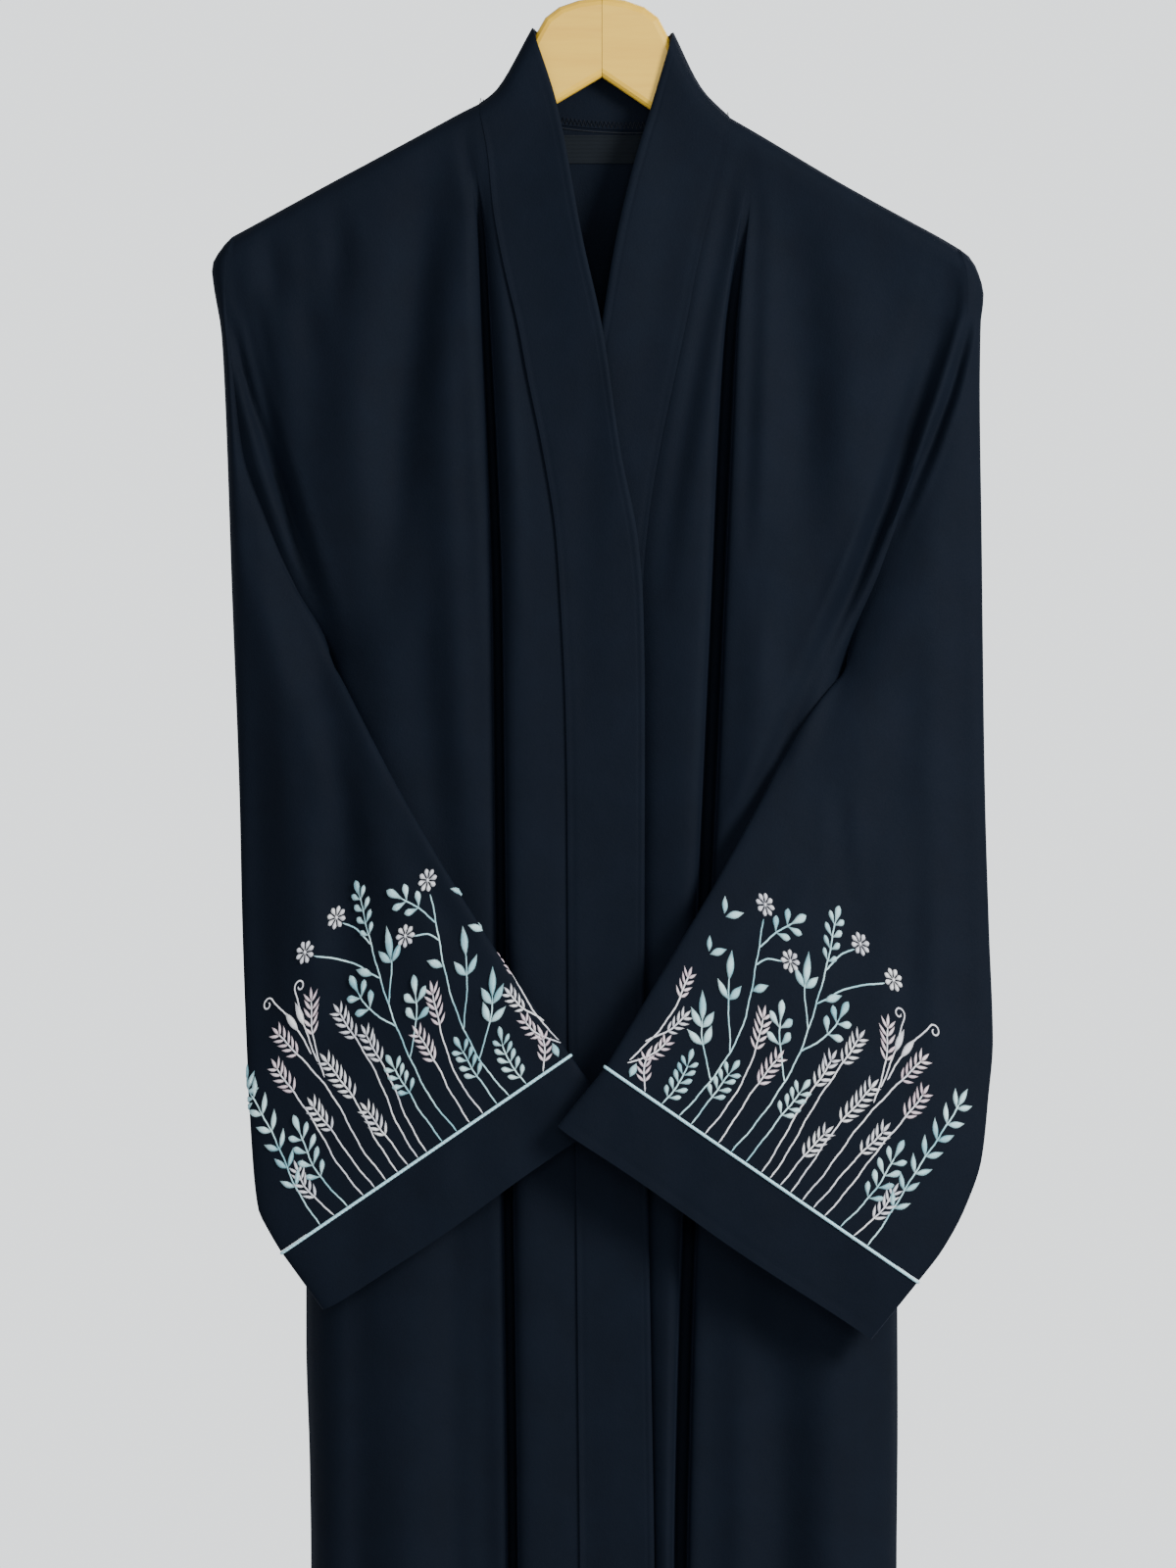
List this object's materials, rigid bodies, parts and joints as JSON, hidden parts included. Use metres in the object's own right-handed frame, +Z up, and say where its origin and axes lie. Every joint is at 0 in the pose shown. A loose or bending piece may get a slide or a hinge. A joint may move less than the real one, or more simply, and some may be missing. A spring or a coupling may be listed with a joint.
{
  "type": "abaya cloak on a wooden hanger",
  "caption": "Long open-front black abaya with wide embroidered sleeves crossed at the front, hung on a pale wooden hanger",
  "frame": {"origin": "inside the top of the hanger's hook, where it rests on a rail", "axes": "+Z up, the front faces -Y, +X to the right as seen from the front, so the garment hangs down from the origin"},
  "size_m": [0.4476, 0.0949, 1.5273],
  "materials": {
    "black_cloth": "soft matt crepe, near-black navy",
    "mint_piping": "satin-covered cord",
    "woven_label": "woven satin, blank",
    "pale_wood": "clear satin lacquer",
    "steel_wire": "polished wire"
  },
  "bodies": {
    "root": {"front_left": "black_cloth", "front_right": "black_cloth", "back": "black_cloth", "sleeve_left": "black_cloth", "sleeve_right": "black_cloth", "band_left": "black_cloth", "band_right": "black_cloth", "band_neck": "black_cloth", "cuff_left": "black_cloth", "cuff_right": "black_cloth", "piping_left": "mint_piping", "piping_right": "mint_piping", "label": "woven_label", "hanger_arm_left": "pale_wood", "hanger_arm_right": "pale_wood", "hanger_hook": "steel_wire", "hook_ferrule": "steel_wire"}
  },
  "joints": []
}
